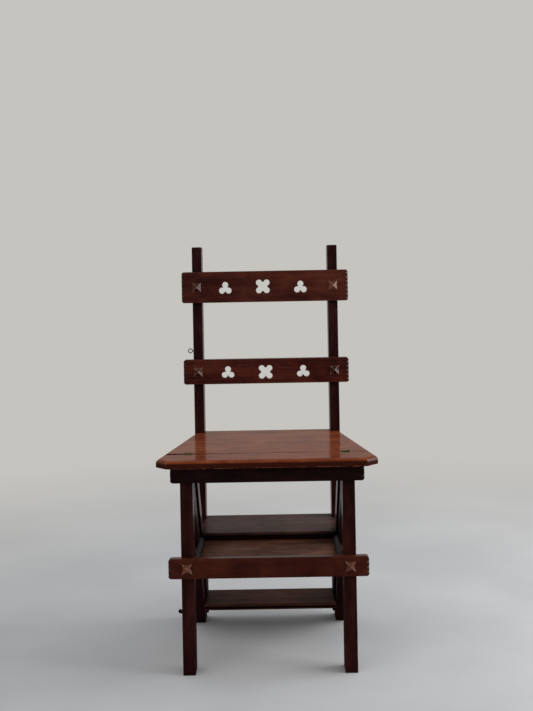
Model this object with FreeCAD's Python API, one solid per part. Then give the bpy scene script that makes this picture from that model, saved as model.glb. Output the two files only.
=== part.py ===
import FreeCAD, Part
import math
import os

# Folding step chair in mahogany, in millimetres. It stands on the floor at
# z = 0 facing -Y, with X across it and the origin under the middle of its box.
# The back half turns over the front half about two hinges in the seat, and
# then the treads of both halves make one flight of steps.

# Whole chair
seat_height = 445.0
frame_depth = 330.0
fold_gap = 1.5
post_top_gap = 8.0
joint_play = 0.2

# Front legs and their braces, whose feet stand on the floor under the posts
leg_clear_width = 305.0
leg_width = 25.5
leg_depth = 45.0
front_brace_width = 42.0
brace_heel = 4.0
brace_top_drop = 14.0

# Back posts, their braces and the rails under the seat
post_step = 4.5
post_width = 22.5
post_depth = 45.0
back_brace_width = 32.0
seat_rail_height = 34.0
rear_rail_thickness = 16.0
tenon_length = 18.0
tenon_shoulder = 7.0

# Seat boards
seat_thickness = 16.0
seat_side_overhang = 45.5
seat_overhang = 50.0
seat_tail = 27.0
corner_clip_width = 23.0
corner_clip_depth = 26.0
seat_edge_radius = 8.0
seat_joint_gap = 1.0
hinge_setback = 33.0

# Rails on the face of the legs and posts
rail_thickness = 16.0
rail_corner_radius = 6.0
rail_bevel = 1.2
apron_overhang = 18.5
apron_height = 35.0
front_rail_overhang = 25.0
front_rail_height = 41.0
front_rail_drop = 25.5
middle_rail_overhang = 22.5
middle_rail_height = 58.0
middle_rail_rise = 115.5
top_rail_overhang = 24.0
top_rail_height = 72.5
top_rail_drop = 58.5
notch_radius = 3.2
notch_depth = 3.2
notch_pitch = 9.8
apron_notch_pitch = 14.4

# Pierced ornament in the back rails, set out by hand and so a little off the middle
piercing_spacing = 88.0
lobe_radius = 7.1
trefoil_spread = 8.8
trefoil_core = 6.2
quatrefoil_spread = 12.6
quatrefoil_core = 10.8
top_piercing_shift = -4.5
top_quatrefoil_drop = 0.0
top_trefoil_drop = 4.0
middle_piercing_shift = -1.5
middle_quatrefoil_drop = 2.5
middle_trefoil_drop = 3.5

# Pegs with a pyramid head, and the hidden dowels
peg_head = 21.0
peg_collar = 1.5
peg_rise = 8.5
peg_tip = 1.2
peg_shank_radius = 4.5
peg_reach = 22.0
dowel_radius = 4.0
dowel_length = 24.0
dowel_offset = 5.5

# Treads, the first with a quadrant bead at each end
tread_thickness = 14.0
first_tread_share = 0.508
third_tread_share = 0.544
third_tread_inset = 8.0
third_tread_reach = 8.0
tread_lap = 15.0
fourth_tread_share = 0.139
fourth_tread_depth = 116.0
tread_housing = 5.0
tread_nose_radius = 6.5
bead_radius = 11.0
bead_end_gap = 3.0

# Seat hinges
hinge_width = 17.0
hinge_leaf_length = 19.0
hinge_leaf_thickness = 1.6
knuckle_radius = 3.0
hinge_pin_radius = 1.5
hinge_play = 0.05
knuckle_gap = 0.3
hinge_screw_radius = 1.2
hinge_screw_head = 2.4
hinge_screw_length = 11.0
hinge_screw_spacing = 8.0

# Side hook that holds the folded chair shut, with its pivot and its stud
hook_drop = 21.0
hook_reach = 110.0
hook_latch_angle = 195.0
hook_plate = 2.5
hook_side_gap = 0.8
hook_eye_radius = 6.5
hook_end_radius = 8.0
hook_bar_width = 6.5
hook_notch_play = 0.6
hook_tail_length = 10.0
hook_curl_radius = 9.0
hook_curl_angle = 150.0
hook_knob_radius = 4.5
pivot_radius = 2.0
pivot_play = 0.05
stud_radius = 2.5
screw_head_radius = 4.6
screw_head_height = 2.6
screw_bite = 14.0

# Ring screwed into the side of the left back post
ring_radius = 4.75
ring_wire_radius = 1.0
ring_neck = 3.0
ring_rise = 18.5

# Places that follow from the sizes above
leg_front = -(frame_depth + post_depth + brace_heel - seat_overhang) / 2
leg_back = leg_front + leg_depth
post_front = leg_front + frame_depth
post_back = post_front + post_depth
seat_front = leg_front - seat_overhang
seat_back = post_front + seat_tail
seat_under = seat_height - seat_thickness
hinge_line = leg_front + hinge_setback
post_top = 2 * seat_height - post_top_gap
leg_inner = leg_clear_width / 2
leg_outer = leg_inner + leg_width
leg_middle = leg_inner + leg_width / 2
seat_side = leg_outer + seat_side_overhang
post_inner = leg_inner - post_step
post_outer = post_inner + post_width
post_middle = post_inner + post_width / 2
hinge_middle = (leg_middle + post_middle) / 2
brace_foot = post_back + brace_heel
brace_head = seat_under - brace_top_drop
brace_run = brace_foot - leg_back
brace_span = math.hypot(brace_run, brace_head)
brace_rise = brace_head / brace_span
brace_lean = brace_run / brace_span
first_tread_level = seat_height * first_tread_share
third_tread_level = seat_height * third_tread_share
fourth_tread_level = seat_height * fourth_tread_share
front_rail_level = first_tread_level - front_rail_drop
middle_rail_level = seat_height + middle_rail_rise
top_rail_level = post_top - top_rail_drop - top_rail_height
hook_level = first_tread_level - hook_drop
ring_level = middle_rail_level + middle_rail_height + ring_rise
tenon_thickness = post_width / 3
FAR = 2 * seat_height


def vector(x, y, z):
    return FreeCAD.Vector(x, y, z)


def block(x0, x1, y0, y1, z0, z1):
    return Part.makeBox(x1 - x0, y1 - y0, z1 - z0, vector(x0, y0, z0))


def rod(x, y, z, radius, length, direction):
    return Part.makeCylinder(radius, length, vector(x, y, z), direction)


def plate(points, along):
    wire = Part.makePolygon(points + [points[0]])
    return Part.Face(wire).extrude(along)


def mirrored(shape):
    return shape.mirror(vector(0, 0, 0), vector(1, 0, 0))


def edges_where(shape, test):
    return [edge for edge in shape.Edges if test(edge.BoundBox)]


def joined(first, *others):
    return first.fuse(list(others)).removeSplitter()


def without(shape, *tools):
    return shape.cut(list(tools)).removeSplitter()


# The two halves part along a slanted line, seen from the side. A place on it
# is given by how far it lies above and behind the back edge of a front brace.

def slant_y(offset, z):
    return brace_foot + (offset - z * brace_lean) / brace_rise


def slant_strip(low, high, x0, x1, y0, y1, z0, z1):
    corners = [(slant_y(low, -FAR), -FAR), (slant_y(high, -FAR), -FAR),
               (slant_y(high, FAR), FAR), (slant_y(low, FAR), FAR)]
    strip = plate([vector(x0, y, z) for y, z in corners], vector(x1 - x0, 0, 0))
    return strip.common(block(x0, x1, y0, y1, z0, z1))


def below_slant(offset):
    return slant_strip(-FAR, offset, -FAR, FAR, -FAR, FAR, -FAR, FAR)


# Braces. Each has a thin tenon that enters the leg or post it leans on.

def front_brace(grow=0.0):
    body = slant_strip(-front_brace_width, 0, leg_inner, leg_outer, leg_back, FAR, 0, FAR)
    half = tenon_thickness / 2 + grow
    tenon = slant_strip(tenon_shoulder - front_brace_width - grow, -tenon_shoulder + grow,
                        leg_middle - half, leg_middle + half,
                        leg_back - tenon_length - grow, leg_back,
                        0, seat_under - tenon_shoulder + grow)
    return body, tenon


def back_brace(grow=0.0):
    low = fold_gap
    high = fold_gap + back_brace_width
    body = slant_strip(low, high, post_inner, post_outer,
                       leg_back + fold_gap, post_front, 0, seat_under)
    half = tenon_thickness / 2 + grow
    tenon = slant_strip(low + tenon_shoulder - grow, high - tenon_shoulder + grow,
                        post_middle - half, post_middle + half,
                        post_front, post_front + tenon_length + grow, 0, FAR)
    return body, tenon


def side_rail(grow=0.0):
    floor = seat_under - seat_rail_height
    body = block(post_inner, post_outer, leg_back + fold_gap, post_front, floor, seat_under)
    body = body.cut(below_slant(fold_gap + back_brace_width))
    half = tenon_thickness / 2 + grow
    tenon = block(post_middle - half, post_middle + half,
                  post_front, post_front + tenon_length + grow,
                  floor + tenon_shoulder - grow, seat_under - tenon_shoulder + grow)
    return body, tenon


def rear_rail(grow=0.0):
    back = seat_back
    front = back - rear_rail_thickness
    floor = seat_under - seat_rail_height
    body = block(-post_inner, post_inner, front, back, floor, seat_under)
    reach = post_middle - tenon_thickness / 2 - 2 * joint_play + grow
    shoulder = rear_rail_thickness / 4
    tenon = block(-reach, reach, front + shoulder - grow, back - shoulder + grow,
                  floor + tenon_shoulder - grow, seat_under - tenon_shoulder + grow)
    return body, tenon


# Treads. The ends enter shallow housings in the legs, posts and braces, and
# between the braces each tread runs on past the slanted line, so that the first
# and the third lie one over the other there.

def tread(level, y0, y1, half_length):
    return block(-half_length, half_length, y0, y1, level - tread_thickness, level)


def housing(level, y0, y1, inner):
    side = inner + tread_housing
    grown = block(-side - joint_play, side + joint_play, y0 - joint_play, y1 + joint_play,
                  level - tread_thickness, level)
    return grown


def nosed(shape, y):
    front = edges_where(shape, lambda box: abs(box.YMin - y) < 1e-4 and abs(box.YMax - y) < 1e-4
                        and box.ZLength < 1e-4 and box.XLength > post_inner)
    return shape.makeFillet(tread_nose_radius, front)


first_housed_back = slant_y(-fold_gap, first_tread_level)
third_housed_front = slant_y(fold_gap, third_tread_level - tread_thickness)
third_front = third_housed_front - third_tread_reach
third_back = post_back - third_tread_inset
first_back = third_housed_front + tread_lap
fourth_front = post_back - fourth_tread_depth
fourth_housed_front = slant_y(fold_gap, fourth_tread_level - tread_thickness) + fold_gap


def first_tread():
    narrow = tread(first_tread_level, leg_front, first_back, post_inner - fold_gap)
    wide = tread(first_tread_level, leg_front, first_housed_back, leg_inner + tread_housing)
    return nosed(joined(narrow, wide), first_back)


def third_tread():
    narrow = tread(third_tread_level, third_front, third_back, post_inner - fold_gap)
    wide = tread(third_tread_level, third_housed_front, third_back, post_inner + tread_housing)
    return nosed(joined(narrow, wide), third_front)


def fourth_tread():
    narrow = tread(fourth_tread_level, fourth_front, post_back, leg_inner - fold_gap)
    wide = tread(fourth_tread_level, fourth_housed_front, post_back, post_inner + tread_housing)
    return nosed(joined(narrow, wide), fourth_front)


def first_housing():
    return housing(first_tread_level, leg_front, first_housed_back, leg_inner)


def third_housing():
    return housing(third_tread_level, third_housed_front, third_back, post_inner)


def fourth_housing():
    return housing(fourth_tread_level, fourth_front, post_back, post_inner)


def first_bead():
    front = leg_front + bead_end_gap
    slant = slant_y(-fold_gap, first_tread_level + bead_radius)
    back = min(slant, third_front) - bead_end_gap
    whole = rod(leg_inner, front, first_tread_level, bead_radius, back - front, vector(0, 1, 0))
    return whole.common(block(leg_inner - bead_radius, leg_inner, front, back,
                              first_tread_level, first_tread_level + bead_radius))


# Rails and apron, cut from board with rounded corners, a light bevel on the
# long front edges and a row of notches gouged out of the corner where the face
# meets each end.

def end_notches(length, height, level, front, pitch):
    count = max(1, int((height - 2 * rail_corner_radius) // pitch) + 1)
    first = level + height / 2 - (count - 1) * pitch / 2
    reach = rail_thickness / 2
    cuts = []
    for index in range(count):
        for side in (-1, 1):
            inward = vector(-side, 1, 0).normalize()
            stroke = vector(side, 1, 0).normalize()
            corner = vector(side * length / 2, front, first + index * pitch)
            start = corner + inward * (notch_depth - notch_radius) - stroke * reach
            cuts.append(Part.makeCylinder(notch_radius, 2 * reach, start, stroke))
    return cuts


def rail(length, height, level, back, pitch):
    front = back - rail_thickness
    board = block(-length / 2, length / 2, front, back, level, level + height)
    corners = edges_where(board, lambda box: box.YLength > rail_thickness / 2)
    board = board.makeFillet(rail_corner_radius, corners)
    long_edges = edges_where(board, lambda box: box.YMax < front + 1e-4 and box.XLength > length / 2)
    board = board.makeChamfer(rail_bevel, long_edges)
    return without(board, *end_notches(length, height, level, front, pitch))


def foil(x, z, lobes, spread, core, turn, back):
    front = back - rail_thickness - 1
    depth = rail_thickness + 2
    hole = [rod(x, front, z, core, depth, vector(0, 1, 0))]
    for index in range(lobes):
        angle = math.radians(turn + 360.0 * index / lobes)
        hole.append(rod(x + spread * math.cos(angle), front, z + spread * math.sin(angle),
                        lobe_radius, depth, vector(0, 1, 0)))
    return hole


def pierced_rail(length, height, level, shift, quatrefoil_drop, trefoil_drop):
    board = rail(length, height, level, post_front, notch_pitch)
    middle = level + height / 2
    cuts = foil(shift, middle - quatrefoil_drop, 4, quatrefoil_spread, quatrefoil_core, 45, post_front)
    for side in (-piercing_spacing, piercing_spacing):
        cuts += foil(shift + side, middle - trefoil_drop, 3, trefoil_spread, trefoil_core, 90, post_front)
    return without(board, *cuts)


def square_wire(x, y, z, half):
    corners = [vector(x - half, y, z - half), vector(x + half, y, z - half),
               vector(x + half, y, z + half), vector(x - half, y, z + half)]
    return Part.makePolygon(corners + [corners[0]])


def peg(x, z, back, grow=0.0):
    face = back - rail_thickness
    shank = rod(x, face - grow, z, peg_shank_radius + grow,
                rail_thickness + peg_reach + 2 * grow, vector(0, 1, 0))
    if grow:
        return shank
    half = peg_head / 2
    collar = block(x - half, x + half, face - peg_collar, face, z - half, z + half)
    cap = Part.makeLoft([square_wire(x, face - peg_collar, z, half),
                         square_wire(x, face - peg_collar - peg_rise, z, peg_tip / 2)], True, True)
    return joined(collar, cap, shank)


def peg_places():
    front = front_rail_level + front_rail_height / 2
    middle = middle_rail_level + middle_rail_height / 2
    top = top_rail_level + top_rail_height / 2
    return {"front": (leg_middle, front, leg_front),
            "middle": (post_middle, middle, post_front),
            "top": (post_middle, top, post_front)}


# Hidden dowels: apron to legs, and seat boards to what they lie on.

def dowel(x, y, z, direction, grow=0.0):
    start = vector(x, y, z) - direction * (dowel_length / 2 + grow)
    return Part.makeCylinder(dowel_radius + grow, dowel_length + 2 * grow, start, direction)


def apron_dowels(grow=0.0):
    low = seat_under - apron_height
    return [dowel(leg_middle - dowel_offset, leg_front, low + apron_height * share, vector(0, 1, 0), grow)
            for share in (0.28, 0.72)]


def seat_dowels(places, grow=0.0):
    return [dowel(x, y, seat_under - dowel_length / 2 + seat_thickness / 2, vector(0, 0, 1), grow)
            for x, y in places]


front_dowel_places = [(leg_middle + dowel_offset, leg_front + 2 * dowel_radius)]
back_dowel_places = [(post_middle, slant_y(fold_gap + back_brace_width, seat_under) + 2 * dowel_length),
                     (post_middle, post_front - 2 * dowel_length)]


# Seat: a narrow front board and a deep back board that meet at the hinges.

clip_back = seat_front + corner_clip_depth


def seat_half_width(y):
    slope = (seat_side - post_outer) / (post_front - clip_back)
    return seat_side - slope * (y - clip_back)


def rounded_rim(board, rim_test):
    top = edges_where(board, lambda box: box.ZMin > seat_height - 1e-4 and rim_test(box))
    return board.makeFillet(seat_edge_radius, top)


def seat_front_board():
    back = hinge_line - seat_joint_gap / 2
    wide = seat_half_width(back)
    nose = seat_side - corner_clip_width
    outline = [(-wide, back), (-seat_side, clip_back), (-nose, seat_front),
               (nose, seat_front), (seat_side, clip_back), (wide, back)]
    points = [vector(x, y, seat_under) for x, y in outline]
    board = plate(points, vector(0, 0, seat_thickness))
    return rounded_rim(board, lambda box: box.YMin < back - 1)


def seat_back_board():
    front = hinge_line + seat_joint_gap / 2
    wide = seat_half_width(front)
    notch = post_inner - joint_play
    outline = [(-wide, front), (wide, front), (post_outer, post_front), (notch, post_front),
               (notch, seat_back), (-notch, seat_back), (-notch, post_front),
               (-post_outer, post_front)]
    points = [vector(x, y, seat_under) for x, y in outline]
    board = plate(points, vector(0, 0, seat_thickness))
    return rounded_rim(board, lambda box: box.YLength > (post_front - front) / 2)


# Seat hinges. The pin lies in the plane of the seat, so the back board can
# turn right over and lie flat on the front one.

def hinge_screw_places(x, side):
    y = hinge_line + side * (knuckle_radius + hinge_leaf_length) / 2
    return [(x - hinge_screw_spacing / 2, y), (x + hinge_screw_spacing / 2, y)]


def hinge_screw(x, y, grow=0.0):
    head_depth = hinge_leaf_thickness
    head = Part.makeCone(hinge_screw_radius + grow, hinge_screw_head + grow, head_depth,
                         vector(x, y, seat_height - head_depth))
    shank = rod(x, y, seat_height - hinge_screw_length, hinge_screw_radius + grow,
                hinge_screw_length - head_depth, vector(0, 0, 1))
    return joined(head, shank)


def knuckle(x0, x1, radius):
    return rod(x0, hinge_line, seat_height, radius, x1 - x0, vector(1, 0, 0))


def hinge_thirds(x):
    start = x - hinge_width / 2
    third = hinge_width / 3
    return [(start, start + third), (start + third, start + 2 * third),
            (start + 2 * third, start + hinge_width)]


def hinge_leaf(x, side):
    thirds = hinge_thirds(x)
    own = [thirds[0], thirds[2]] if side < 0 else [thirds[1]]
    other = [thirds[1]] if side < 0 else [thirds[0], thirds[2]]
    far = hinge_line + side * hinge_leaf_length
    leaf = block(x - hinge_width / 2, x + hinge_width / 2, min(far, hinge_line),
                 max(far, hinge_line), seat_height - hinge_leaf_thickness, seat_height)
    leaf = joined(leaf, *[knuckle(a, b, knuckle_radius) for a, b in own])
    gaps = [knuckle(a - knuckle_gap, b + knuckle_gap, knuckle_radius + knuckle_gap)
            for a, b in other]
    play = hinge_play if side > 0 else hinge_play / 5
    bore = knuckle(x - hinge_width, x + hinge_width, hinge_pin_radius + play)
    holes = [hinge_screw(a, b, hinge_play / 5) for a, b in hinge_screw_places(x, side)]
    return without(leaf, bore, *gaps, *holes)


def hinge_pin(x):
    return knuckle(x - hinge_width / 2, x + hinge_width / 2, hinge_pin_radius)


def hinge_recess(x, side):
    half = hinge_width / 2 + joint_play
    far = hinge_line + side * (hinge_leaf_length + joint_play)
    pocket = block(x - half, x + half, min(far, hinge_line), max(far, hinge_line),
                   seat_height - hinge_leaf_thickness, seat_height + 1)
    groove = knuckle(x - half, x + half, knuckle_radius + knuckle_gap)
    return [pocket, groove]


def hinge_wood_cuts(side):
    cuts = []
    for x in (-hinge_middle, hinge_middle):
        cuts += hinge_recess(x, side)
        cuts += [hinge_screw(a, b, hinge_play) for a, b in hinge_screw_places(x, side)]
    return cuts


# Side hook on the left. It hangs from a screw in the front brace, and when it
# is swung up over the top its open end drops on a stud in the back brace.

hook_y = slant_y(-front_brace_width / 2, hook_level)
hook_x = -leg_outer - hook_side_gap - hook_plate
latch = math.radians(hook_latch_angle)
stud_y = hook_y + hook_reach * math.sin(latch)
stud_z = hook_level - hook_reach * math.cos(latch)


def domed_head(x, y, z):
    dome = Part.makeSphere(screw_head_radius, vector(0, 0, 0), vector(0, 0, 1), 0, 90, 360)
    squash = FreeCAD.Matrix()
    squash.scale(1, 1, screw_head_height / screw_head_radius)
    dome = dome.transformGeometry(squash)
    dome.rotate(vector(0, 0, 0), vector(0, 1, 0), -90)
    dome.translate(vector(x, y, z))
    return dome


def side_screw(y, z, face, neck_radius):
    neck_end = hook_x - joint_play
    neck = rod(neck_end, y, z, neck_radius, face - neck_end, vector(1, 0, 0))
    bite = rod(face, y, z, pivot_radius * 0.9, screw_bite, vector(1, 0, 0))
    return joined(neck, bite, domed_head(neck_end, y, z))


def screw_hole(y, z, face):
    return rod(face - 1, y, z, pivot_radius * 0.9 + pivot_play, screw_bite + 1 + joint_play,
               vector(1, 0, 0))


def hook_curl(foot):
    arm_half = hook_bar_width / 2
    corners = [vector(hook_x, hook_y - arm_half, foot),
               vector(hook_x + hook_plate, hook_y - arm_half, foot),
               vector(hook_x + hook_plate, hook_y + arm_half, foot),
               vector(hook_x, hook_y + arm_half, foot)]
    section = Part.Face(Part.makePolygon(corners + [corners[0]]))
    turn_centre = vector(hook_x - hook_curl_radius, hook_y, foot)
    return section.revolve(turn_centre, vector(0, 1, 0), hook_curl_angle)


def hook_knob(foot):
    turn = math.radians(hook_curl_angle)
    reach = hook_curl_radius + hook_plate / 2
    centre = vector(hook_x - hook_curl_radius + reach * math.cos(turn), hook_y,
                    foot - reach * math.sin(turn))
    return Part.makeSphere(hook_knob_radius, centre, vector(0, 1, 0))


def side_hook():
    low = hook_level - hook_reach
    arm_half = hook_bar_width / 2
    eye = rod(hook_x, hook_y, hook_level, hook_eye_radius, hook_plate, vector(1, 0, 0))
    end = rod(hook_x, hook_y, low, hook_end_radius, hook_plate, vector(1, 0, 0))
    foot = low - hook_end_radius - hook_tail_length
    arm = block(hook_x, hook_x + hook_plate, hook_y - arm_half, hook_y + arm_half, foot, hook_level)
    mouth_half = stud_radius + hook_notch_play
    mouth = block(hook_x - 1, hook_x + hook_plate + 1, hook_y, hook_y + 2 * hook_end_radius,
                  low - mouth_half, low + mouth_half)
    seat = rod(hook_x - 1, hook_y, low, mouth_half, hook_plate + 2, vector(1, 0, 0))
    bore = rod(hook_x - 1, hook_y, hook_level, pivot_radius + pivot_play, hook_plate + 2,
               vector(1, 0, 0))
    bar = joined(eye, end, arm, hook_curl(foot), hook_knob(foot))
    return without(bar, mouth, seat, bore)


# Ring on a short shank, screwed into the outside of the left back post.

ring_x = -post_outer - ring_neck - ring_radius - ring_wire_radius
ring_y = (post_front + post_back) / 2


def post_ring():
    ring = Part.makeTorus(ring_radius, ring_wire_radius, vector(ring_x, ring_y, ring_level),
                          vector(0, 1, 0))
    start = ring_x + ring_radius
    shank = rod(start, ring_y, ring_level, ring_wire_radius,
                screw_bite - post_outer - start, vector(1, 0, 0))
    return joined(ring, shank)


def ring_hole():
    return rod(-post_outer - 1, ring_y, ring_level, ring_wire_radius + pivot_play,
               screw_bite + 1 + joint_play, vector(1, 0, 0))


# Legs and posts, with every mortise, housing and hole that they hold.

def front_leg():
    leg = block(leg_inner, leg_outer, leg_front, leg_back, 0, seat_under)
    x, z, back = peg_places()["front"]
    cuts = [front_brace(joint_play)[1], peg(x, z, back, joint_play)]
    cuts += apron_dowels(joint_play)
    cuts += seat_dowels(front_dowel_places, joint_play)
    cuts.append(first_housing())
    return without(leg, *cuts)


def back_post():
    post = block(post_inner, post_outer, post_front, post_back, 0, post_top)
    tips = edges_where(post, lambda box: box.ZMin > post_top - 1e-4)
    post = post.makeChamfer(rail_bevel, tips)
    cuts = [below_slant(fold_gap), third_housing(), fourth_housing()]
    cuts += [back_brace(joint_play)[1], side_rail(joint_play)[1], rear_rail(joint_play)[1]]
    for place in ("middle", "top"):
        x, z, back = peg_places()[place]
        cuts.append(peg(x, z, back, joint_play))
    return without(post, *cuts)


def save(name, *solids):
    shape = solids[0] if len(solids) == 1 else Part.makeCompound(list(solids))
    good = shape.isValid() and all(solid.Volume > 0 for solid in shape.Solids)
    print(name, len(shape.Solids), "solids", round(shape.Volume / 1000.0, 2), "cm3", "" if good else "BAD")
    shape.exportStep("parts/" + name + ".step")


def save_pair(name, right_shape, left_cuts=()):
    left_shape = mirrored(right_shape)
    if left_cuts:
        left_shape = without(left_shape, *left_cuts)
    save(name + "_right", right_shape)
    save(name + "_left", left_shape)


def save_front_frame():
    x, z, back = peg_places()["front"]
    body, tenon = front_brace()
    save_pair("front_leg", front_leg())
    brace = without(joined(body, tenon), first_housing())
    save_pair("front_brace", brace, [screw_hole(hook_y, hook_level, -leg_outer)])
    apron = rail(2 * (leg_outer + apron_overhang), apron_height, seat_under - apron_height,
                 leg_front, apron_notch_pitch)
    holes = apron_dowels(joint_play)
    save("apron", without(apron, *holes, *[mirrored(hole) for hole in holes]))
    front_rail = rail(2 * (leg_outer + front_rail_overhang), front_rail_height, front_rail_level,
                      leg_front, notch_pitch)
    hole = peg(x, z, back, joint_play)
    save("front_rail", without(front_rail, hole, mirrored(hole)))
    save("front_rail_pegs", peg(x, z, back), peg(-x, z, back))
    save("tread_first", first_tread())
    save("tread_first_beads", first_bead(), mirrored(first_bead()))
    holes = seat_dowels(front_dowel_places, joint_play)
    cuts = hinge_wood_cuts(-1) + holes + [mirrored(hole) for hole in holes]
    save("seat_front_board", without(seat_front_board(), *cuts))
    pins = apron_dowels() + seat_dowels(front_dowel_places)
    save("front_dowels", *pins, *[mirrored(pin) for pin in pins])


def save_back_frame():
    body, tenon = back_brace()
    brace = without(joined(body, tenon), third_housing())
    save_pair("back_post", back_post(), [ring_hole()])
    save_pair("back_brace", brace, [screw_hole(stud_y, stud_z, -post_outer)])
    body, tenon = side_rail()
    holes = seat_dowels(back_dowel_places, joint_play)
    save_pair("seat_side_rail", without(joined(body, tenon), *holes))
    body, tenon = rear_rail()
    save("seat_rear_rail", joined(body, tenon))
    cuts = hinge_wood_cuts(1) + holes + [mirrored(hole) for hole in holes]
    save("seat_back_board", without(seat_back_board(), *cuts))
    pins = seat_dowels(back_dowel_places)
    save("back_dowels", *pins, *[mirrored(pin) for pin in pins])
    middle_rail = pierced_rail(2 * (post_outer + middle_rail_overhang), middle_rail_height, middle_rail_level,
                               middle_piercing_shift, middle_quatrefoil_drop, middle_trefoil_drop)
    top_rail = pierced_rail(2 * (post_outer + top_rail_overhang), top_rail_height, top_rail_level,
                            top_piercing_shift, top_quatrefoil_drop, top_trefoil_drop)
    for name, board in (("middle", middle_rail), ("top", top_rail)):
        x, z, back = peg_places()[name]
        hole = peg(x, z, back, joint_play)
        board = without(board, hole, mirrored(hole))
        save(name + "_rail", board)
        save(name + "_rail_pegs", peg(x, z, back), peg(-x, z, back))
    save("tread_third", third_tread())
    save("tread_fourth", fourth_tread())
    save("post_ring", post_ring())


def save_hinges():
    for name, x in (("left", -hinge_middle), ("right", hinge_middle)):
        save("hinge_front_leaf_" + name, hinge_leaf(x, -1))
        save("hinge_back_leaf_" + name, hinge_leaf(x, 1))
        save("hinge_pin_" + name, hinge_pin(x))
    for name, side in (("hinge_front_screws", -1), ("hinge_back_screws", 1)):
        screws = []
        for x in (-hinge_middle, hinge_middle):
            screws += [hinge_screw(a, b) for a, b in hinge_screw_places(x, side)]
        save(name, *screws)


def save_hook():
    save("side_hook", side_hook())
    save("hook_pivot_screw", side_screw(hook_y, hook_level, -leg_outer, pivot_radius))
    save("hook_stud", side_screw(stud_y, stud_z, -post_outer, stud_radius))


os.makedirs("parts", exist_ok=True)
save_front_frame()
save_back_frame()
save_hinges()
save_hook()
print("hook pivot", round(hook_y, 2), round(hook_level, 2), "hook plane", round(hook_x, 2))
print("hinge line", round(hinge_line, 2), "ring", round(ring_x, 2), round(ring_y, 2), ring_level)
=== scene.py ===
import math
import random

import bmesh
import bpy
from mathutils import Euler, Matrix, Vector


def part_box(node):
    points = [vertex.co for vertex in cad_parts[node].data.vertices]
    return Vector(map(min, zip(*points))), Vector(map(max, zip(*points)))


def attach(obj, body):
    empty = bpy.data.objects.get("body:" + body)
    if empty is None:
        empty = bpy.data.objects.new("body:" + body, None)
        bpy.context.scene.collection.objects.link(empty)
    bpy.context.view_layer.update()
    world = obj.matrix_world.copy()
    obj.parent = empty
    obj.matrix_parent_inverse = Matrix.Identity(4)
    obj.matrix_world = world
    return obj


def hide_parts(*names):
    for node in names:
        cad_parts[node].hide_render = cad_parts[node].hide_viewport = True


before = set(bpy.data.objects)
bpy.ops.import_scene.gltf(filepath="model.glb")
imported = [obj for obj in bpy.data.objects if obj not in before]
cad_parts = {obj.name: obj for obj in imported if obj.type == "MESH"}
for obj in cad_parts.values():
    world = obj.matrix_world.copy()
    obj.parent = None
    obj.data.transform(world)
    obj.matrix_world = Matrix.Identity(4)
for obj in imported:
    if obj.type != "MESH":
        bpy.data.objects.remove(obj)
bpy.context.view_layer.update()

# The room. A pale floor runs out into a pale wall, lit by a wide window at the
# right and by light thrown back from the left in front. Polished wood mirrors
# a dark room in front of the chair and the pale wall behind it.
wall_colour = (0.56, 0.55, 0.52)
floor_colour = (0.42, 0.42, 0.42)
dark_room = (0.015, 0.015, 0.016)
daylight = (0.84, 0.85, 0.87)
floor_half_width = 30.0
floor_fade_start = 0.6
floor_fade_end = 2.6
floor_cloud_scale = 2.2
floor_cloud_tones = (0.3, 0.7, 0.92, 1.04)
wall_mirrored_from = 0.3
wall_mirrored_full = 1.5
sky_mirrored_from = -0.45
sky_mirrored_full = 0.25

scene = bpy.context.scene
scene.view_settings.view_transform = "Standard"


def add(tree, kind, **inputs):
    node = tree.nodes.new("ShaderNode" + kind)
    for name, value in inputs.items():
        socket = node.inputs[name.replace("_", " ")]
        if isinstance(value, bpy.types.NodeSocket):
            tree.links.new(value, socket)
        else:
            socket.default_value = value
    return node


def combine(tree, kind, first, second=0.0, third=0.0):
    node = tree.nodes.new("ShaderNodeMath")
    node.operation = kind
    for socket, value in zip(node.inputs, (first, second, third)):
        if isinstance(value, bpy.types.NodeSocket):
            tree.links.new(value, socket)
        else:
            socket.default_value = value
    return node.outputs[0]


def between(tree, value, low, high, out_low=0.0, out_high=1.0):
    node = add(tree, "MapRange", Value=value)
    node.interpolation_type = "SMOOTHSTEP"
    limits = {"From Min": low, "From Max": high, "To Min": out_low, "To Max": out_high}
    for name, number in limits.items():
        node.inputs[name].default_value = number
    return node.outputs[0]


def blended(tree, share, first, second, kind="MIX"):
    node = tree.nodes.new("ShaderNodeMix")
    node.data_type = "RGBA"
    node.blend_type = kind
    share_socket, first_socket, second_socket = node.inputs[0], node.inputs[6], node.inputs[7]
    for socket, value in ((share_socket, share), (first_socket, first), (second_socket, second)):
        if isinstance(value, bpy.types.NodeSocket):
            tree.links.new(value, socket)
        elif isinstance(value, tuple):
            socket.default_value = (*value, 1.0)
        else:
            socket.default_value = value
    return node.outputs[2]


def split(tree, vector):
    node = tree.nodes.new("ShaderNodeSeparateXYZ")
    tree.links.new(vector, node.inputs[0])
    return node.outputs


def empty_tree(owner):
    owner.use_nodes = True
    owner.node_tree.nodes.clear()
    return owner.node_tree


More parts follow.
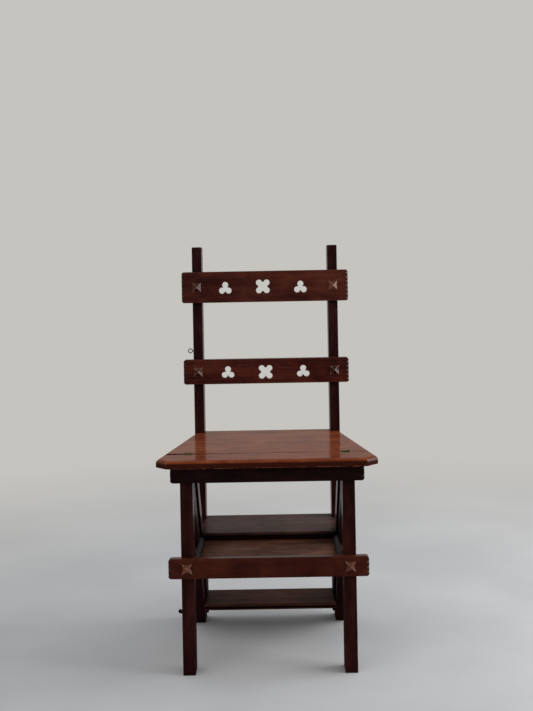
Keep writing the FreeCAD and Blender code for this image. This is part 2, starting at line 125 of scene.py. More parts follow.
def lay_floor():
    mesh = bpy.data.meshes.new("studio_floor")
    reach = floor_half_width
    corners = [(-reach, -reach, 0), (reach, -reach, 0), (reach, reach, 0), (-reach, reach, 0)]
    mesh.from_pydata(corners, [], [(0, 1, 2, 3)])
    floor = bpy.data.objects.new("studio_floor", mesh)
    scene.collection.objects.link(floor)
    material = bpy.data.materials.new("studio_floor")
    tree = empty_tree(material)
    place = add(tree, "TexCoord").outputs["Object"]
    distance = tree.nodes.new("ShaderNodeVectorMath")
    distance.operation = "LENGTH"
    tree.links.new(place, distance.inputs[0])
    cloud = add(tree, "TexNoise", Vector=place, Scale=floor_cloud_scale, Detail=4.0).outputs["Fac"]
    tone = between(tree, cloud, *floor_cloud_tones)
    ground = add(tree, "BsdfDiffuse", Color=blended(tree, 1.0, floor_colour, tone, "MULTIPLY"))
    glow = add(tree, "Emission", Color=(*wall_colour, 1.0), Strength=1.0)
    behind_chair = between(tree, split(tree, place)["Y"], wall_mirrored_from, wall_mirrored_full)
    mirrored = blended(tree, behind_chair, dark_room, wall_colour)
    mirror = add(tree, "Emission", Color=mirrored, Strength=1.0)
    far = between(tree, distance.outputs["Value"], floor_fade_start, floor_fade_end)
    seen_in_polish = add(tree, "LightPath").outputs["Is Glossy Ray"]
    shader = ground.outputs[0]
    for share, other in ((far, glow), (seen_in_polish, mirror)):
        mixed = tree.nodes.new("ShaderNodeMixShader")
        tree.links.new(share, mixed.inputs[0])
        tree.links.new(shader, mixed.inputs[1])
        tree.links.new(other.outputs[0], mixed.inputs[2])
        shader = mixed.outputs[0]
    tree.links.new(shader, tree.nodes.new("ShaderNodeOutputMaterial").inputs[0])
    mesh.materials.append(material)


def paint_wall():
    world = bpy.data.worlds.new("pale_wall")
    scene.world = world
    tree = empty_tree(world)
    ray = add(tree, "LightPath").outputs
    direction = split(tree, add(tree, "TexCoord").outputs["Generated"])
    behind_chair = between(tree, direction["Y"], sky_mirrored_from, sky_mirrored_full)
    mirrored = blended(tree, behind_chair, dark_room, wall_colour)
    lit = blended(tree, ray["Is Glossy Ray"], daylight, mirrored)
    seen = combine(tree, "MAXIMUM", ray["Is Camera Ray"], ray["Is Transmission Ray"])
    sky = add(tree, "Background", Color=blended(tree, seen, lit, wall_colour), Strength=1.0)
    tree.links.new(sky.outputs[0], tree.nodes.new("ShaderNodeOutputWorld").inputs[0])


def hang_light(name, watts, width, height, place, aim, colour):
    lamp = bpy.data.lights.new(name, "AREA")
    lamp.energy = watts
    lamp.shape = "RECTANGLE"
    lamp.size = width
    lamp.size_y = height
    lamp.color = colour
    holder = bpy.data.objects.new(name, lamp)
    scene.collection.objects.link(holder)
    holder.location = place
    holder.rotation_euler = (Vector(aim) - Vector(place)).to_track_quat("-Z", "Y").to_euler()


lay_floor()
paint_wall()
hang_light("window_light", watts=66.0, width=2.0, height=2.4, place=(2.3, -0.15, 1.35),
           aim=(0, 0, 0.55), colour=(0.97, 0.985, 1.0))
hang_light("bounce_light", watts=9.0, width=2.0, height=2.0, place=(-1.6, -2.2, 1.9),
           aim=(0, 0, 0.4), colour=(1.0, 0.985, 0.96))

# Front legs and the slanting braces behind them: square mahogany, planed by
# hand, its arrises rubbed round. Each brace is tenoned into the back of its leg,
# and its long foot stands on the floor under the back post.
leg_tones = ((0.0075, 0.0010, 0.0010), (0.0210, 0.0026, 0.0024), (0.0440, 0.0075, 0.0050))
# Near black, painted as shade into the end gouges and along the seat joint.
deep_shade = (0.0060, 0.0026, 0.0018)
dust_colour = (0.22, 0.17, 0.15)
leg_edge_round = 0.0010
arris_angle = math.radians(30)
flat_face_angle = math.radians(0.5)
one_skin_distance = 0.00001
up_the_leg = Vector((0, 0, 1))

# Each figure in the wood: its length along the grain, its width across it, how
# many finer layers it has, and how much it twists.
bands_in_wood = (0.42, 0.024, 5.0, 0.5)
stripes_in_wood = (0.16, 0.0055, 4.0, 0.3)
fibres_in_wood = (0.030, 0.0011, 2.0, 0.0)
pores_in_wood = (0.010, 0.00075, 1.0, 0.0)
scratches_in_polish = (0.06, 0.0016, 0.0, 1.8)
plane_marks = (1.8, 22.0, 22.0)
rings_drawn_out = (0.10, 1.0, 1.0)
ring_waves_per_step = 20
cloud_scale = 9.0
pore_opens = (0.60, 0.72)
pore_darkness = 0.5
planed_relief = (0.0011, 0.5)
fibre_relief = (0.00025, 0.25)
pore_relief = (-0.00020, 0.45)

# How much each figure counts in the tone. A streaky board has more of the bands
# and stripes, and its mottle is drawn out along the grain.
band_share = 0.10
streaky_band_share = 0.16
streaky_stripe_share = 0.08
streaky_fibre_share = 0.07
mottle_share = 0.36
cloud_tone_share = 0.30
ring_share = 0.07
tone_spread = 0.30
figured_narrower = 0.16
mottle_length = 0.040
mottle_longer = 0.015
mottle_width = 0.030
mottle_narrower = 0.010

# How an arris wears and takes a painted highlight: how flat it still is where all
# polish stays and where it is gone, then where the rubbed patches start and are whole.
soft_wear = (0.995, 0.90, 0.42, 0.62)
rubbed_width = 0.0022
rubbed_patch_scale = 55.0
wear_highlight_gain = 1.7
wear_highlight_lift = 0.020
worn_samples = 6
# Painted shade darkens the corners, found by occlusion within this reach.
corner_shade_reach = 0.016
corner_shade_gathers = (0.80, 0.30)
corner_shade_strength = 0.8
corner_shade_darkness = 0.4
scratch_shows = (0.76, 0.80)
scratch_strength = 0.20

# Gloss of the polish: from this gloss up a clear coat lies on the wood, and the
# duller causes add to the roughness by these shares.
coat_from_gloss = 0.4
coat_gain = 1.6
bare_wood_level = 0.12
dullest = 0.44
gloss_share = 0.28
cloud_share = 0.22
pore_share = 0.15
rubbed_share = 0.30
corner_shade_share = 0.20
dust_share = 0.45
dust_lies = (0.75, 0.98)
dust_patches = (0.30, 0.75, 0.45, 1.0)
# Upright faces take the painted side shade, fading out as the face tilts towards flat.
rim_turns = (0.55, 0.12)


def round_edges(piece, width, steps=3):
    weld = piece.modifiers.new("one_skin", "WELD")
    weld.merge_threshold = one_skin_distance
    flat = piece.modifiers.new("whole_faces", "DECIMATE")
    flat.decimate_type = "DISSOLVE"
    flat.angle_limit = flat_face_angle
    bevel = piece.modifiers.new("rubbed_arris", "BEVEL")
    bevel.width = width
    bevel.segments = steps
    bevel.limit_method = "ANGLE"
    bevel.angle_limit = arris_angle
    even = piece.modifiers.new("even_shading", "WEIGHTED_NORMAL")
    even.keep_sharp = True


def lay_grain(tree, name, place, grain):
    chance = random.Random(name)
    turn = Vector((1, 0, 0)).rotation_difference(grain).to_euler()
    board = add(tree, "Mapping", Vector=place, Rotation=turn)
    board.vector_type = "TEXTURE"
    board.inputs["Location"].default_value = [chance.uniform(-3, 3) for _ in range(3)]
    return board.outputs[0]


def grain_figure(tree, board, figure):
    along, across_grain, layers, twist = figure
    stretch = (1 / along, 1 / across_grain, 1 / across_grain)
    drawn_out = add(tree, "Mapping", Vector=board, Scale=stretch).outputs[0]
    noise = add(tree, "TexNoise", Vector=drawn_out, Scale=1.0, Detail=layers, Distortion=twist)
    return noise.outputs["Fac"]


def growth_rings(tree, board, spacing):
    drawn_out = add(tree, "Mapping", Vector=board, Scale=rings_drawn_out).outputs[0]
    waves = math.tau / (ring_waves_per_step * spacing)
    wave = add(tree, "TexWave", Vector=drawn_out, Scale=waves, Distortion=3.0, Detail=3.0)
    wave.wave_type = "RINGS"
    wave.rings_direction = "X"
    wave.inputs["Detail Scale"].default_value = 0.6
    return wave.outputs["Fac"]


def wood_colour(tree, board, cloud, fibre, pore, tones, figure, rings, streaky):
    deep, warm, bright = tones
    bands = grain_figure(tree, board, bands_in_wood)
    stripe = grain_figure(tree, board, stripes_in_wood)
    along = mottle_length + mottle_longer * streaky
    across_grain = mottle_width - mottle_narrower * streaky
    mottle = grain_figure(tree, board, (along, across_grain, 3.0, 0.8))
    growth = growth_rings(tree, board, rings)
    shares = ((bands, band_share + streaky_band_share * streaky),
              (stripe, streaky_stripe_share * streaky), (fibre, streaky_fibre_share * streaky),
              (mottle, mottle_share), (cloud, cloud_tone_share), (growth, ring_share * figure))
    tone = 0.0
    for pattern, share in shares:
        tone = combine(tree, "MULTIPLY_ADD", pattern, share, tone)
    middle = sum(share for pattern, share in shares) / 2
    spread = tone_spread - figured_narrower * figure
    ramp = add(tree, "ValToRGB", Fac=between(tree, tone, middle - spread, middle + spread))
    ramp.color_ramp.elements[0].color = (*deep, 1)
    ramp.color_ramp.elements[1].color = (*bright, 1)
    ramp.color_ramp.elements.new(0.5).color = (*warm, 1)
    return blended(tree, combine(tree, "MULTIPLY", pore, pore_darkness), ramp.outputs["Color"], deep)


def at_arris(tree, radius, samples, flat, gone):
    soft = add(tree, "Bevel", Radius=radius)
    soft.samples = samples
    level = tree.nodes.new("ShaderNodeVectorMath")
    level.operation = "DOT_PRODUCT"
    tree.links.new(soft.outputs[0], level.inputs[0])
    tree.links.new(add(tree, "NewGeometry").outputs["Normal"], level.inputs[1])
    return between(tree, level.outputs["Value"], flat, gone)


# Mask for the painted shade in corners, found by ambient occlusion.
def corner_shade_mask(tree):
    corner = tree.nodes.new("ShaderNodeAmbientOcclusion")
    corner.samples = worn_samples
    corner.inputs["Distance"].default_value = corner_shade_reach
    return between(tree, corner.outputs["AO"], *corner_shade_gathers)


def wood_relief(tree, board, fibre, pore):
    planed = add(tree, "Mapping", Vector=board, Scale=plane_marks).outputs[0]
    planed = add(tree, "TexNoise", Vector=planed, Scale=1.0, Detail=1.0).outputs["Fac"]
    depth, strength = planed_relief
    relief = add(tree, "Bump", Height=planed, Distance=depth, Strength=strength).outputs[0]
    for height, (depth, strength) in ((fibre, fibre_relief), (pore, pore_relief)):
        relief = add(tree, "Bump", Height=height, Distance=depth, Strength=strength,
                     Normal=relief).outputs[0]
    return relief


def polished_mahogany(name, grain, tones, figure=0.5, gloss=0.5, wear=0.5, dust=0.0, rings=0.004,
                      rim=None, seam=None, ends=None, coat=None, haze=0.07, streaky=1.0,
                      rubbing_and_highlight=soft_wear):
    deep, bright = tones[0], tones[-1]
    material = bpy.data.materials.new(name)
    tree = empty_tree(material)
    place = add(tree, "TexCoord").outputs["Object"]
    spot = split(tree, place)
    facing = split(tree, add(tree, "NewGeometry").outputs["Normal"])
    board = lay_grain(tree, name, place, grain)
    fibre = grain_figure(tree, board, fibres_in_wood)
    pore = between(tree, grain_figure(tree, board, pores_in_wood), *pore_opens)
    cloud = add(tree, "TexNoise", Vector=place, Scale=cloud_scale, Detail=4.0, Roughness=0.6)
    cloud = cloud.outputs["Fac"]
    colour = wood_colour(tree, board, cloud, fibre, pore, tones, figure, rings, streaky)

    shine = max(0.0, coat_gain * (gloss - coat_from_gloss)) if coat is None else coat
    # Upright faces are painted in a darker colour as shade.
    if rim:
        upright = combine(tree, "ABSOLUTE", facing["Z"])
        colour = blended(tree, between(tree, upright, *rim_turns), colour, rim)
    # The joint is painted as a dark shadow line, and its coat is taken away.
    if seam:
        shadow_line = joint_shadow_line(tree, spot, seam)
        colour = blended(tree, shadow_line, colour, deep_shade)
        shine = combine(tree, "MULTIPLY", combine(tree, "SUBTRACT", 1.0, shadow_line), shine)
    # Gouges at the ends are painted dark as shade.
    if ends:
        colour = blended(tree, gouge_shade(tree, spot, facing, ends), colour, deep_shade)

    # Arrises are painted lighter, partly as polish rubbed thin and partly as a painted
    # highlight; corners are darkened with painted shade; and a few scratches run with the grain.
    flat, gone, patch_starts, patch_whole = rubbing_and_highlight
    wear_and_highlight_colour = tuple(wear_highlight_gain * part + wear_highlight_lift for part in bright)
    arris = at_arris(tree, rubbed_width, worn_samples, flat, gone)
    patch = add(tree, "TexNoise", Vector=place, Scale=rubbed_patch_scale, Detail=4.0, Roughness=0.65)
    patch = between(tree, patch.outputs["Fac"], patch_starts, patch_whole)
    rubbed_and_highlit = combine(tree, "MULTIPLY", combine(tree, "MULTIPLY", arris, patch), wear)
    colour = blended(tree, rubbed_and_highlit, colour, wear_and_highlight_colour)
    corner_shade = corner_shade_mask(tree)
    shade = tuple(corner_shade_darkness * part for part in deep)
    colour = blended(tree, combine(tree, "MULTIPLY", corner_shade, corner_shade_strength), colour, shade)
    scratch = between(tree, grain_figure(tree, board, scratches_in_polish), *scratch_shows)
    colour = blended(tree, combine(tree, "MULTIPLY", scratch, scratch_strength), colour, wear_and_highlight_colour)

    rough = combine(tree, "MULTIPLY_ADD", cloud, cloud_share, dullest - gloss_share * gloss)
    for cause, share in ((pore, pore_share), (rubbed_and_highlit, rubbed_share), (corner_shade, corner_shade_share)):
        rough = combine(tree, "MULTIPLY_ADD", cause, share, rough)
    if dust:
        lying = between(tree, facing["Z"], *dust_lies)
        patchy = between(tree, cloud, *dust_patches)
        film = combine(tree, "MULTIPLY", combine(tree, "MULTIPLY", lying, patchy), dust)
        colour = blended(tree, film, colour, dust_colour)
        rough = combine(tree, "MULTIPLY_ADD", film, dust_share, rough)

    relief = wood_relief(tree, board, fibre, pore)
    finish = add(tree, "BsdfPrincipled", Base_Color=colour, Roughness=rough, Normal=relief,
                 Coat_Normal=relief, Coat_Weight=shine, Coat_Roughness=haze)
    finish.inputs["Specular IOR Level"].default_value = bare_wood_level if coat is None else 0.0
    tree.links.new(finish.outputs[0], tree.nodes.new("ShaderNodeOutputMaterial").inputs[0])
    return material


def finish_piece(piece, material):
    if piece.material_slots:
        for slot in piece.material_slots:
            slot.link = "OBJECT"
            slot.material = material
    else:
        piece.data.materials.append(material)


def dress(node, grain, tones, edge, **look):
    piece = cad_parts[node]
    finish_piece(piece, polished_mahogany(node, grain, tones, **look))
    round_edges(piece, edge)


leg_low, leg_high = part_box("front_leg_left")
brace_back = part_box("front_brace_left")[1]
down_the_brace = Vector((0, brace_back.y - leg_high.y, -brace_back.z)).normalized()
for side in ("left", "right"):
    dress("front_leg_" + side, up_the_leg, leg_tones, leg_edge_round, figure=0.4, gloss=0.5, wear=0.55)
    dress("front_brace_" + side, down_the_brace, leg_tones, leg_edge_round, figure=0.4, gloss=0.5,
          wear=0.5)

# Apron under the seat and the front rail lower down: boards laid across the
# face of the legs, with rounded corners and a row of chips cut into each end, painted dark inside as
# shade.
rail_tones = ((0.0190, 0.0030, 0.0018), (0.0500, 0.0078, 0.0042), (0.0860, 0.0180, 0.0085))
apron_tones = ((0.0070, 0.0014, 0.0012), (0.0140, 0.0026, 0.0022), (0.0260, 0.0055, 0.0040))
front_rail_tones = ((0.0200, 0.0026, 0.0014), (0.0450, 0.0068, 0.0030), (0.0680, 0.0130, 0.0045))
apron_edge_round = 0.0008
front_rail_edge_round = 0.0009
across = Vector((1, 0, 0))

# A gouge is painted dark inside as shade, between these depths from the corner of the end.
gouge_starts = (0.0010, 0.0018)
gouge_stops = (0.0075, 0.0062)
gouge_slant = (0.92, 0.84)


def gouge_shade(tree, spot, facing, ends):
    end, front = ends
    from_end = combine(tree, "SUBTRACT", end, combine(tree, "ABSOLUTE", spot["X"]))
    from_corner = combine(tree, "ADD", from_end, combine(tree, "SUBTRACT", spot["Y"], front))
    not_front = between(tree, facing["Y"], *(-share for share in gouge_slant))
    not_end = between(tree, combine(tree, "ABSOLUTE", facing["X"]), *gouge_slant)
    inside = combine(tree, "MULTIPLY", between(tree, from_corner, *gouge_starts),
                     between(tree, from_corner, *gouge_stops))
    return combine(tree, "MULTIPLY", inside, combine(tree, "MULTIPLY", not_front, not_end))


def gouged_ends(rail):
    low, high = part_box(rail)
    return high.x, low.y


dress("apron", across, apron_tones, apron_edge_round, figure=0.5, gloss=0.4, wear=0.35,
      ends=gouged_ends("apron"))
dress("front_rail", -across, front_rail_tones, front_rail_edge_round, figure=0.6, gloss=0.55, wear=0.7,
      streaky=0.1, rings=0.015, ends=gouged_ends("front_rail"))

# Pegs through the rails: the head is cut as a low four-sided pyramid with a
# hollow down the middle of each side, so that its corners stand out as a star.
peg_tones = ((0.0040, 0.0010, 0.0008), (0.0230, 0.0055, 0.0032), (0.1500, 0.0500, 0.0270))
through_the_rail = Vector((0, 1, 0))
head_rise = 0.0085
head_tuck = 0.0015
head_steps = 6
head_narrows = 0.93
head_crown = 0.9
hollow_lead = 0.25
knife_wobble = 0.02
# A peg's ridges are painted light, partly as wear and partly as a painted highlight.
crisp_wear = (0.999, 0.97, 0.22, 0.47)
facet_round = 0.0003
facet_angle = math.radians(12)
front_peg_hollow = 0.34
back_peg_hollow = 0.14


def cut_peg_head(mesh, low, high, hollow, chance):
    middle_x = (low.x + high.x) / 2
    middle_z = (low.z + high.z) / 2
    half = (high.x - low.x) / 2
    collar = low.y + head_rise
    rings = []
    for step in range(head_steps + 1):
        rise = step / head_steps
        reach = half * (1 - head_narrows * rise)
        dip = 1 - hollow * math.sin(math.pi * min(rise + hollow_lead, 1))
        depth = collar - (collar - low.y) * rise ** head_crown
        ring = []
        for corner in range(8):
            angle = math.radians(45 * corner + 45)
            out = reach * (math.sqrt(2) if corner % 2 == 0 else dip)
            out *= 1 + chance.uniform(-knife_wobble, knife_wobble)
            spot = (middle_x + out * math.cos(angle), depth, middle_z + out * math.sin(angle))
            ring.append(mesh.verts.new(spot))
        rings.append(ring)
    base = [mesh.verts.new((v.co.x, collar + head_tuck, v.co.z)) for v in rings[0]]
    rings.insert(0, base)
    for near, far in zip(rings, rings[1:]):
        for index in range(8):
            following = (index + 1) % 8
            mesh.faces.new((near[index], near[following], far[following], far[index]))
    mesh.faces.new(rings[-1])
    mesh.faces.new(reversed(base))


def make_piece(name, mesh, body, material):
    bmesh.ops.recalc_face_normals(mesh, faces=mesh.faces)
    data = bpy.data.meshes.new(name)
    mesh.to_mesh(data)
    mesh.free()
    piece = bpy.data.objects.new(name, data)
    scene.collection.objects.link(piece)
    data.materials.append(material)
    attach(piece, body)
    return piece


def peg_pair(rail, body, hollow):
    low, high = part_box(rail + "_pegs")
    width = high.z - low.z
    mesh = bmesh.new()
    chance = random.Random(rail)
    for left in (low.x, high.x - width):
        near = Vector((left, low.y, low.z))
        far = Vector((left + width, high.y, high.z))
        cut_peg_head(mesh, near, far, hollow, chance)
    name = rail + "_pegs_carved"
    material = polished_mahogany(name, through_the_rail, peg_tones, gloss=0.75, wear=0.9,
                                 rubbing_and_highlight=crisp_wear)
    piece = make_piece(name, mesh, body, material)
    bevel = piece.modifiers.new("rubbed_facets", "BEVEL")
    bevel.width = facet_round
    bevel.segments = 2
    bevel.limit_method = "ANGLE"
    bevel.angle_limit = facet_angle
    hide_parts(rail + "_pegs")


peg_pair("front_rail", "front_frame", front_peg_hollow)

# First tread: a board let into the legs and braces, its back edge rounded, with
# a quadrant strip glued down at each end to hide the joint.
tread_tones = ((0.050, 0.0150, 0.0090), (0.130, 0.0460, 0.0250), (0.235, 0.0980, 0.0560))
strip_tones = ((0.004, 0.0012, 0.0010), (0.011, 0.0032, 0.0024), (0.028, 0.0090, 0.0060))
# Upright faces of the treads are painted near black as shade.
tread_side_shade = (0.0040, 0.0014, 0.0012)
tread_edge_round = 0.0010
strip_edge_round = 0.0006
front_to_back = Vector((0, 1, 0))


def dress_tread(name, tones, dust, wear, coat):
    dress("tread_" + name, across, tones, tread_edge_round, figure=1.0, gloss=0.35, wear=wear,
          dust=dust, rings=0.006, rim=tread_side_shade, coat=coat, haze=0.3)


dress_tread("first", tread_tones, dust=0.05, wear=0.5, coat=0.15)
dress("tread_first_beads", front_to_back, strip_tones, strip_edge_round, gloss=0.0, wear=0.5)

# Back posts and their braces, with the short rails that carry the seat between
# them: the same square mahogany, all of it framed together with tenons. The two
# treads let into the back half are darker and duller than the first.
lower_tread_tones = ((0.022, 0.0070, 0.0055), (0.046, 0.0155, 0.0120), (0.080, 0.0300, 0.0220))
seat_rail_edge_round = 0.0008
for side in ("left", "right"):
    dress("back_post_" + side, up_the_leg, leg_tones, leg_edge_round, figure=0.4, gloss=0.5, wear=0.5)
    dress("back_brace_" + side, down_the_brace, leg_tones, leg_edge_round, gloss=0.5, wear=0.5)
    dress("seat_side_rail_" + side, front_to_back, leg_tones, seat_rail_edge_round, gloss=0.4, wear=0.4)
dress("seat_rear_rail", across, apron_tones, seat_rail_edge_round, gloss=0.4, wear=0.4)
dress_tread("third", lower_tread_tones, dust=0.15, wear=0.2, coat=0.22)
dress_tread("fourth", lower_tread_tones, dust=0.0, wear=0.2, coat=0.10)

# Pierced rails of the back: trefoils either side of a quatrefoil, sawn right
# through, and pegged to the posts with pyramid heads. The middle rail is a
# little redder than the top one.
middle_rail_tones = tuple((red, 0.80 * green, 0.72 * blue) for red, green, blue in rail_tones)
pierced_edge_round = 0.0007
for rail, tones in (("middle_rail", middle_rail_tones), ("top_rail", rail_tones)):
    dress(rail, across, tones, pierced_edge_round, figure=0.7, gloss=0.6, wear=0.7,
          ends=gouged_ends(rail))
    peg_pair(rail, "back_frame", back_peg_hollow)

# Seat: a narrow front board and a deep back board that meet at the hinges, with
# a rounded rim. The polish is worn to a light orange brown; its rounded arris is
# painted lighter as wear and a painted highlight, its upright faces are painted dark
# as shade, and the joint between the boards is painted as a dark shadow line.
seat_tones = ((0.0700, 0.0120, 0.0035), (0.1300, 0.0270, 0.0075), (0.1900, 0.0540, 0.0170))
# Upright faces of the seat are painted dark red as shade.
seat_rim = (0.0300, 0.0065, 0.0040)
seat_edge_round = 0.0007
seat_front_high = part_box("seat_front_board")[1]
seat_back_low, seat_back_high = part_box("seat_back_board")
seat_joint = (seat_front_high.y + seat_back_low.y) / 2

# The painted shadow line along the joint is wider at its left end.
joint_shadow_half_width = 0.0030
joint_shadow_wide_half = 0.0110
joint_widens_from = -0.06
joint_widest_at = -0.20


def joint_shadow_line(tree, spot, joint):
    off_joint = combine(tree, "ABSOLUTE", combine(tree, "SUBTRACT", spot["Y"], joint))
    half_width = between(tree, spot["X"], joint_widens_from, joint_widest_at,
                         joint_shadow_half_width, joint_shadow_wide_half)
    return between(tree, combine(tree, "DIVIDE", off_joint, half_width), 1.0, 0.5)


for board in ("seat_front_board", "seat_back_board"):
    dress(board, across, seat_tones, seat_edge_round, figure=0.8, gloss=1.0, wear=0.8, dust=0.04,
          rings=0.007, rim=seat_rim, seam=seat_joint, coat=0.33)

# Hinges: brass leaves let in flush on top of the seat, gone dark and greenish,
# each held by two countersunk steel screws with a slot.
brass_dark = (0.055, 0.050, 0.022)
brass_light = (0.300, 0.225, 0.085)
brass_stain = (0.03, 0.030, 0.016)
hinge_steel_dark = (0.035, 0.032, 0.026)
hinge_steel_light = (0.16, 0.14, 0.10)
hinge_steel_rust = (0.06, 0.025, 0.010)
leaf_edge_round = 0.0002
metal_wear = (0.99, 0.88)
metal_wear_strength = 0.7
metal_rubbed_width = 0.0006
metal_samples = 4
metal_rubbed_gain = 1.6
stain_dulls = 0.30
stain_scale = 180.0
pit_scale = 900.0
stain_spreads = (0.35, 0.70)
pit_rusts = (0.62, 0.74, 0.0, 0.6)
stain_depth = 0.0002
pit_depth = 0.0001
knuckle_reach = 0.003
screw_from_middle = 0.004
hinge_screw_slot = 0.0006
upward = Vector((0, 0, 1))

# Each profile of a turned piece lists a radius and a height, from one end on.
hinge_screw_shank = ((0.0010, -0.0105), (0.0012, -0.0030), (0.0018, -0.0010))
hinge_screw_head = ((0.0018, -0.0010), (0.00232, -0.0002), (0.00225, -0.0001))


def worn_metal(name, dark, light, rust, roughness, metallic):
    material = bpy.data.materials.new(name)
    tree = empty_tree(material)
    place = add(tree, "TexCoord").outputs["Object"]
    stain = add(tree, "TexNoise", Vector=place, Scale=stain_scale, Detail=5.0, Roughness=0.65)
    stain = stain.outputs["Fac"]
    pits = add(tree, "TexNoise", Vector=place, Scale=pit_scale, Detail=3.0).outputs["Fac"]
    colour = blended(tree, between(tree, stain, *stain_spreads), dark, light)
    colour = blended(tree, between(tree, pits, *pit_rusts), colour, rust)
    arris = at_arris(tree, metal_rubbed_width, metal_samples, *metal_wear)
    arris = combine(tree, "MULTIPLY", arris, metal_wear_strength)
    bright = tuple(min(1.0, metal_rubbed_gain * part) for part in light)
    colour = blended(tree, arris, colour, bright)
    relief = add(tree, "Bump", Height=stain, Distance=stain_depth, Strength=0.5).outputs[0]
    relief = add(tree, "Bump", Height=pits, Distance=pit_depth, Strength=0.5, Normal=relief).outputs[0]
    rough = combine(tree, "MULTIPLY_ADD", stain, stain_dulls, roughness)
    finish = add(tree, "BsdfPrincipled", Base_Color=colour, Roughness=rough, Normal=relief,
                 Metallic=metallic)
    tree.links.new(finish.outputs[0], tree.nodes.new("ShaderNodeOutputMaterial").inputs[0])
    return material


def turn_shank(mesh, profile, centre, axis, sides):
    turn = upward.rotation_difference(axis)
    rings = []
    for radius, height in profile:
        ring = []
        for index in range(sides):
            angle = math.tau * index / sides
            spot = Vector((radius * math.cos(angle), radius * math.sin(angle), height))
            ring.append(mesh.verts.new(centre + turn @ spot))
        rings.append(ring)
    for near, far in zip(rings, rings[1:]):
        for index in range(sides):
            following = (index + 1) % sides
            mesh.faces.new((near[index], near[following], far[following], far[index]))
    mesh.faces.new(reversed(rings[0]))
    mesh.faces.new(rings[-1])


def slotted_head(mesh, profile, centre, axis, slot_angle, slot_width, sides):
    turn = upward.rotation_difference(axis) @ Euler((0, 0, slot_angle)).to_quaternion()
    for side in (1, -1):
        rings = []
        for radius, height in profile:
            limit = math.acos(min(1.0, slot_width / 2 / radius))
            ring = []
            for index in range(sides + 1):
                angle = -limit + 2 * limit * index / sides
                out = side * radius
                spot = Vector((out * math.cos(angle), out * math.sin(angle), height))
                ring.append(mesh.verts.new(centre + turn @ spot))
            rings.append(ring)
        for near, far in zip(rings, rings[1:]):
            for index in range(sides):
                mesh.faces.new((near[index], near[index + 1], far[index + 1], far[index]))
            mesh.faces.new((near[-1], near[0], far[0], far[-1]))
        mesh.faces.new(reversed(rings[0]))
        mesh.faces.new(rings[-1])


def hinge_screws(name, body, leaf, knuckle_side):
    mesh = bmesh.new()
    chance = random.Random(name)
    for side in ("left", "right"):
        low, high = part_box(leaf + side)
        flat_middle = (low.y + high.y - knuckle_side * knuckle_reach) / 2
        for offset in (-screw_from_middle, screw_from_middle):
            centre = Vector(((low.x + high.x) / 2 + offset, flat_middle, seat_back_high.z))
            turn_shank(mesh, hinge_screw_shank, centre, upward, sides=16)
            slotted_head(mesh, hinge_screw_head, centre, upward, slot_angle=chance.uniform(0, math.pi),
                         slot_width=hinge_screw_slot, sides=10)
    piece = make_piece(name + "_slotted", mesh, body, hinge_steel)
    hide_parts(name)


hinge_brass = worn_metal("hinge_brass_tarnished", brass_dark, brass_light, brass_stain,
                         roughness=0.30, metallic=0.9)
hinge_steel = worn_metal("hinge_screw_steel", hinge_steel_dark, hinge_steel_light, hinge_steel_rust,
                         roughness=0.35, metallic=0.9)
for side in ("left", "right"):
    for part in ("hinge_front_leaf_", "hinge_back_leaf_", "hinge_pin_"):
        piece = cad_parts[part + side]
        finish_piece(piece, hinge_brass)
        round_edges(piece, leaf_edge_round, steps=2)
hinge_screws("hinge_front_screws", "front_frame", "hinge_front_leaf_", knuckle_side=1)
hinge_screws("hinge_back_screws", "back_frame", "hinge_back_leaf_", knuckle_side=-1)

# Side hook: a strip of black iron that swings on a screw in the left brace and
# drops over a stud, with its tail curled out for a finger. Screw and stud are
# turned steel with a slotted round head.
iron_dark = (0.006, 0.006, 0.007)
iron_light = (0.030, 0.028, 0.027)
iron_rust = (0.050, 0.020, 0.009)
steel_dark = (0.030, 0.028, 0.026)
steel_light = (0.150, 0.140, 0.130)
steel_rust = (0.060, 0.026, 0.012)
hook_edge_round = 0.0004
screw_slot = 0.0009
screw_slot_angle = 0.5
pivot_neck = 0.0020
stud_neck = 0.0025
thread_radius = 0.0017
tip_radius = 0.0004


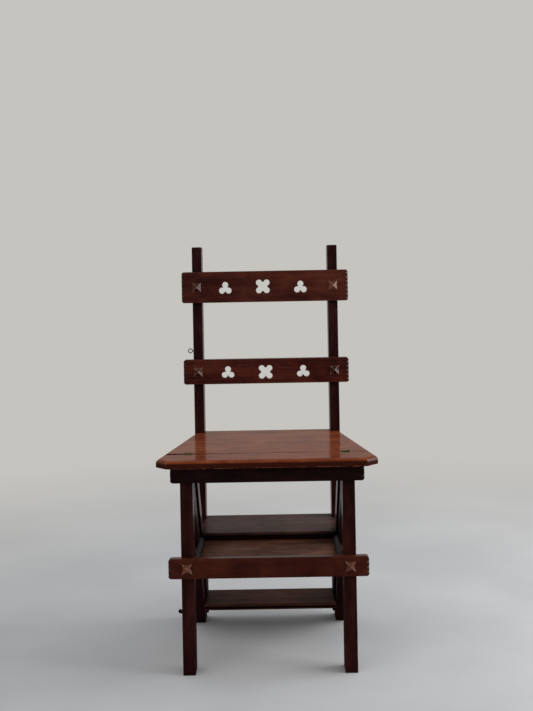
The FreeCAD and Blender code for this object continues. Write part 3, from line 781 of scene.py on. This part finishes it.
def slotted_screw(node, body, neck):
    low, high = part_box(node)
    middle = Vector((low.x, (low.y + high.y) / 2, (low.z + high.z) / 2))
    head = (high.z - low.z) / 2
    reach = high.x - low.x
    shank = ((head * 0.98, 0.0016), (head, 0.0026), (neck, 0.0028), (neck, 0.0075),
             (thread_radius, 0.0080), (thread_radius, reach - 0.003), (tip_radius, reach))
    dome = ((head * 0.98, 0.0016), (head * 0.85, 0.0009), (head * 0.6, 0.0003), (head * 0.3, 0.00005))
    mesh = bmesh.new()
    turn_shank(mesh, shank, middle, across, sides=28)
    slotted_head(mesh, dome, middle, across, screw_slot_angle, screw_slot, sides=14)
    piece = make_piece(node + "_slotted", mesh, body, dull_steel)
    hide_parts(node)


black_iron = worn_metal("hook_iron_black", iron_dark, iron_light, iron_rust,
                        roughness=0.38, metallic=0.8)
dull_steel = worn_metal("dull_screw_steel", steel_dark, steel_light, steel_rust,
                        roughness=0.32, metallic=0.9)
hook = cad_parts["side_hook"]
finish_piece(hook, black_iron)
round_edges(hook, hook_edge_round, steps=2)
slotted_screw("hook_pivot_screw", "front_frame", pivot_neck)
slotted_screw("hook_stud", "back_frame", stud_neck)

# Ring on the left post: a loop of black wire on a shank, screwed into the post a
# little above the middle rail.
finish_piece(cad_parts["post_ring"], black_iron)

# Dowels that pin the apron and the seat boards: plain round pegs of pale wood,
# glued into the pieces they join, where they can't be seen.
dowel_tones = ((0.20, 0.12, 0.06), (0.33, 0.22, 0.12), (0.42, 0.30, 0.18))
for group in ("front_dowels", "back_dowels"):
    pale_wood = polished_mahogany(group, up_the_leg, dowel_tones, gloss=0.1, wear=0.0)
    finish_piece(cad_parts[group], pale_wood)

# The camera looks straight at the chair from well above the seat, two metres
# in front of the legs, and is turned a degree on its own axis.
camera_height = 0.802
camera_distance = 2.103
camera_aside = 0.015
focal_pixels = 1034.0
frame_height_pixels = 711.0
principal_row = 280.0
film_width = 36.0
camera_turn = math.radians(0.25)
camera_roll = math.radians(-1.04)

camera = bpy.data.cameras.new("photo_camera")
camera.sensor_width = film_width
camera.lens = film_width * focal_pixels / frame_height_pixels
camera.shift_y = (principal_row - frame_height_pixels / 2) / frame_height_pixels
eye = bpy.data.objects.new("photo_camera", camera)
scene.collection.objects.link(eye)
place = Matrix.Translation((camera_aside, leg_low.y - camera_distance, camera_height))
tilt = Matrix.Rotation(camera_turn, 4, "Z") @ Matrix.Rotation(math.pi / 2, 4, "X")
eye.matrix_world = place @ tilt @ Matrix.Rotation(camera_roll, 4, "Z")
scene.camera = eye
